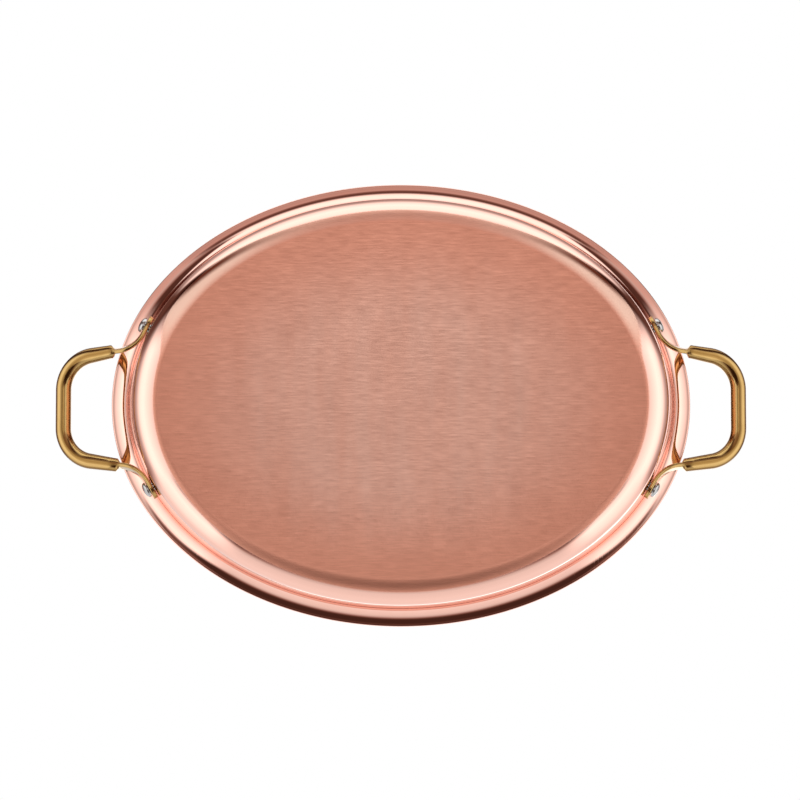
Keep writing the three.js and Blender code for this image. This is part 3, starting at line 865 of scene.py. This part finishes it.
# Rivets: flat tail inside, shank, and a domed head on the foot
rivet = {
    "shankDiameter": 4.6, "headDiameter": 8, "headHeight": 2.3, "tailDiameter": 8.4, "tailHeight": 1.5,
    "tailRound": 0.5, "land": 0.45, "domePower": 0.9, "sharpFrom": 40,
    "segments": 56, "tailSteps": 4, "domeSteps": 14,
}


def rivetRows():
    tailTop = -pan["sheet"] - handle["fitGap"]
    headFoot = 2 * handle["fitGap"] + handle["footThickness"]
    edge = rivet["tailRound"]
    tail = rivet["tailDiameter"] / 2
    low = tailTop - rivet["tailHeight"]
    rows = [(tail / 2, low), (tail - edge, low)]
    for i in range(1, rivet["tailSteps"] + 1):
        turn = math.pi / 2 * i / rivet["tailSteps"]
        rows.append((tail - edge * (1 - math.sin(turn)), low + edge * (1 - math.cos(turn))))
    rows += [(tail, tailTop), (rivet["shankDiameter"] / 2, tailTop), (rivet["shankDiameter"] / 2, headFoot)]
    head = rivet["headDiameter"] / 2
    rows.append((head, headFoot))
    dome = rivet["headHeight"] - rivet["land"]
    for i in range(rivet["domeSteps"]):
        turn = math.pi / 2 * i / rivet["domeSteps"]
        radius = head * math.cos(turn) ** rivet["domePower"]
        rows.append((radius, headFoot + rivet["land"] + dome * math.sin(turn)))
    return rows, low, headFoot + rivet["headHeight"]


def makeRivet(name, node, body, origin, way):
    rows, low, high = rivetRows()
    turn = Vector((0, 0, 1)).rotation_difference(way).to_matrix().to_4x4()
    placed = Matrix.Translation(origin) @ turn
    rings = []
    for radius, height in rows:
        ring = []
        for j in range(rivet["segments"]):
            angle = 2 * math.pi * j / rivet["segments"]
            ring.append(placed @ Vector((radius * math.cos(angle), radius * math.sin(angle), height)))
        rings.append(ring)
    first = placed @ Vector((0, 0, low))
    last = placed @ Vector((0, 0, high))
    made = ringMesh(name, rings, first, last, [rivetSilver], lambda ring: 0)
    made.data.set_sharp_from_angle(angle=math.radians(rivet["sharpFrom"]))
    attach(made, body)
    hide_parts(node)


def makeRivets():
    for sideName, sideX in (("left", -1), ("right", 1)):
        for endName, endY, half in (("front", -1, frontHalf), ("rear", 1, rearHalf)):
            point, normal, lean = half["rivet"]
            origin = Vector((sideX * point.x, endY * point.y - sideHandle["shift"], footZ))
            way = Vector((sideX * normal.x, endY * normal.y, -math.tan(lean))).normalized()
            name = f"{sideName}{endName.capitalize()}Rivet"
            makeRivet(name, f"{sideName}_{endName}_rivet", "pan", origin, way)
    point, normal, _ = lidHalf["rivet"]
    for sideName, sideX in (("left", -1), ("right", 1)):
        origin = Vector((sideX * point.y, 0, lidFoot + point.x))
        way = Vector((sideX * normal.y, 0, normal.x))
        makeRivet(f"lid{sideName.capitalize()}Rivet", f"lid_{sideName}_rivet", "lid", origin, way)


makeRivets()
print("stage: rivets")


# Floor: pale paper from above. From below it is clear, and so it is for a path that came in through it,
# so that the underside of the pan can be seen and lit.
floor = {
    "colour": (0.84, 0.835, 0.83, 1), "half": 4.0, "drop": 0.0004,
    "tooth": 400.0, "bump": 0.05, "bumpHeight": 0.0003,
    "white": (1, 1, 1, 1), "fadeFrom": 0.4, "fadeTo": 2.4,
}


def makeFloor():
    half = floor["half"]
    z = -floor["drop"]
    mesh = bpy.data.meshes.new("floor")
    corners = [(-half, -half, z), (half, -half, z), (half, half, z), (-half, half, z)]
    mesh.from_pydata(corners, [], [(0, 1, 2, 3)])
    made = bpy.data.objects.new("floor", mesh)
    scene.collection.objects.link(made)
    material = bpy.data.materials.new("floorPaper")
    material.use_nodes = True
    tree = material.node_tree
    tree.nodes.clear()
    output = tree.nodes.new("ShaderNodeOutputMaterial")
    at = tree.nodes.new("ShaderNodeTexCoord").outputs["Object"]
    tooth = noiseOf(tree, at, floor["tooth"])
    paper = addNode(tree, "ShaderNodeBsdfDiffuse", {"Color": floor["colour"]})
    tree.links.new(bumped(tree, tooth, floor["bump"], floor["bumpHeight"]), paper.inputs["Normal"])
    # the paper runs out into white
    away = addNode(tree, "ShaderNodeVectorMath", {0: at}, operation="LENGTH").outputs["Value"]
    fade = ranged(tree, away, floor["fadeFrom"], floor["fadeTo"], 0.0, 1.0, "SMOOTHSTEP")
    white = addNode(tree, "ShaderNodeEmission", {"Color": floor["white"], "Strength": 1.0})
    paper = addNode(tree, "ShaderNodeMixShader", {0: fade, 1: paper.outputs[0], 2: white.outputs[0]})
    clear = tree.nodes.new("ShaderNodeBsdfTransparent")
    below = tree.nodes.new("ShaderNodeNewGeometry").outputs["Backfacing"]
    entered = tree.nodes.new("ShaderNodeLightPath").outputs["Transparent Depth"]
    unseen = addNode(tree, "ShaderNodeMath", {0: below, 1: entered}, operation="ADD", use_clamp=True)
    inputs = {0: unseen.outputs[0], 1: paper.outputs[0], 2: clear.outputs[0]}
    paper = addNode(tree, "ShaderNodeMixShader", inputs)
    tree.links.new(paper.outputs[0], output.inputs["Surface"])
    mesh.materials.append(material)
    made.visible_diffuse = False
    made.visible_shadow = False


makeFloor()

# Studio tent: soft boxes to the left and the right, a lit back and front, and dark cards between them.
# Each level runs over the angle from straight below, 0, to straight above, 180. A dim level is warm, unless
# it comes as a pair with its own share of white.
tent = {
    "radius": 2.6, "until": 172, "rings": 60, "segments": 96,
    "warm": (1, 0.45, 0.33), "warmUntil": 0.8, "brightest": 2,
    "side": (
        (0, 1.52), (7, 1.46), (12, 0.80), (17, 0.58), (21, 0.74), (26, 0.95), (33, 1.13), (42, 1.28),
        (52, 1.42), (68, 1.65), (80, 1.6), (90, 1.4), (97, 1.05), (105, 0.72), (114, 0.52), (128, 0.38),
        (145, 0.28), (172, 0.25),
    ),
    "gap": (
        (0, 1.52), (7, 1.42), (12, 0.76), (18, (0.66, 0.6)), (30, (0.70, 0.56)), (42, (0.70, 0.58)),
        (50, 0.62), (58, 0.48), (65, 0.28), (72, 0.10), (104, 0.08), (111, 0.12), (150, 0.12), (172, 0.3),
    ),
    "back": (
        (0, 1.52), (7, 1.52), (11, 1.25), (15, 0.62), (20, (0.54, 0.5)), (30, (0.58, 0.5)), (38, (0.60, 0.5)),
        (44, 0.26), (52, 0.12), (59, 0.14), (66, 0.75), (72, 1.5), (95, 1.65), (112, 1.3), (126, 0.6),
        (140, 0.40), (172, 0.40),
    ),
    "lower": (
        (0, 1.52), (4, 0.92), (9, 0.34), (22, 0.16), (30, 0.20), (37, 0.60), (44, 1.3), (60, 1.6), (90, 1.35),
        (112, 1.0), (172, 0.8),
    ),
    "front": (
        (0, 1.52), (3, 0.88), (7, 0.32), (12, 0.10), (20, 0.06), (42, 0.06), (49, 0.14), (56, 0.42),
        (63, 0.70), (74, 0.90), (105, 1.0), (172, 1.0),
    ),
    # where each zone starts, in degrees from the side towards the back, and how softly
    "starts": {
        "lower": (((0, -20), (180, -20)), -10),
        "front": (((0, -36), (34, -34), (50, -43), (60, -46), (180, -46)), -11),
        "gap": (((0, 24), (40, 22), (60, 20), (92, 20), (117, 12), (180, 12)), 18),
        "back": (((0, 42), (40, 46), (60, 51), (76, 57), (90, 51), (115, 39), (180, 36)), 7),
    },
}


def lightOf(level):
    if isinstance(level, tuple):
        level, share = level
    else:
        share = smoothStep(level, 0, tent["warmUntil"])
    return [level / tent["brightest"] * lerp(warm, 1, share) for warm in tent["warm"]] + [1]


def turnOf(angle):
    share = (angle + 90) / 180
    return (share, share, share, 1)


def makeTent():
    rings = tent["rings"]
    segments = tent["segments"]
    points = [Vector((0, 0, -1))]
    faces = []
    for ring in range(1, rings + 1):
        polar = math.radians(tent["until"]) * ring / rings
        for j in range(segments):
            turn = 2 * math.pi * j / segments
            wide = math.sin(polar)
            points.append(Vector((wide * math.cos(turn), wide * math.sin(turn), -math.cos(polar))))
    for j in range(segments):
        after = (j + 1) % segments
        faces.append((0, 1 + j, 1 + after))
        for ring in range(rings - 1):
            first = 1 + ring * segments
            faces.append((first + j, first + segments + j, first + segments + after, first + after))
    mesh = bpy.data.meshes.new("studioTent")
    mesh.from_pydata([point * tent["radius"] for point in points], [], faces)
    mesh.polygons.foreach_set("use_smooth", [True] * len(faces))
    made = bpy.data.objects.new("studioTent", mesh)
    scene.collection.objects.link(made)
    material = bpy.data.materials.new("tentCloth")
    material.use_nodes = True
    tree = material.node_tree
    tree.nodes.clear()
    output = tree.nodes.new("ShaderNodeOutputMaterial")
    at = tree.nodes.new("ShaderNodeTexCoord").outputs["Object"]
    way = addNode(tree, "ShaderNodeVectorMath", {0: at}, operation="NORMALIZE").outputs[0]
    split = addNode(tree, "ShaderNodeSeparateXYZ", {0: way}).outputs
    polar = mathOf(tree, "ARCCOSINE", mathOf(tree, "MULTIPLY", split["Z"], -1.0))
    share = mathOf(tree, "DIVIDE", polar, math.pi)
    turn = mathOf(tree, "ARCTAN2", split["Y"], mathOf(tree, "ABSOLUTE", split["X"]))
    turnShare = ranged(tree, turn, -math.pi / 2, math.pi / 2, 0.0, 1.0)
    colour = rampOf(tree, share, tent["side"], lightOf)
    for zone, (edge, soft) in tent["starts"].items():
        past = mathOf(tree, "SUBTRACT", turnShare, rampOf(tree, share, edge, turnOf))
        factor = ranged(tree, past, 0.0, soft / 180, 0.0, 1.0, "SMOOTHSTEP")
        colour = mixedColour(tree, factor, colour, rampOf(tree, share, tent[zone], lightOf))
    glow = addNode(tree, "ShaderNodeEmission", {"Color": colour, "Strength": tent["brightest"]})
    tree.links.new(glow.outputs[0], output.inputs["Surface"])
    mesh.materials.append(material)
    made.visible_camera = False
    made.visible_diffuse = False
    made.visible_shadow = False


makeTent()


# White surroundings for the camera and for what the metal mirrors, and a plain level for the floor
studio = {
    "white": (1, 1, 1, 1), "fill": (0.88, 0.88, 0.88, 1),
    "lampPower": 8, "lampSize": 1.6, "lampAt": (-0.35, -0.25, 1.5), "lampTilt": (-9, -13, 0),
}


def makeWorld():
    world = bpy.data.worlds.new("studio")
    scene.world = world
    world.use_nodes = True
    tree = world.node_tree
    tree.nodes.clear()
    output = tree.nodes.new("ShaderNodeOutputWorld")
    path = tree.nodes.new("ShaderNodeLightPath").outputs
    mirrored = mathOf(tree, "MAXIMUM", path["Is Glossy Ray"], path["Is Transmission Ray"])
    seen = mathOf(tree, "MAXIMUM", path["Is Camera Ray"], mirrored)
    colour = mixedColour(tree, seen, studio["fill"], studio["white"])
    sky = addNode(tree, "ShaderNodeBackground", {"Color": colour, "Strength": 1.0})
    tree.links.new(sky.outputs[0], output.inputs["Surface"])


def makeLamp():
    data = bpy.data.lights.new("overhead", "AREA")
    data.shape = "SQUARE"
    data.size = studio["lampSize"]
    data.energy = studio["lampPower"]
    made = bpy.data.objects.new("overhead", data)
    made.location = studio["lampAt"]
    made.rotation_euler = [math.radians(angle) for angle in studio["lampTilt"]]
    scene.collection.objects.link(made)


makeWorld()
makeLamp()
print("stage: studio")
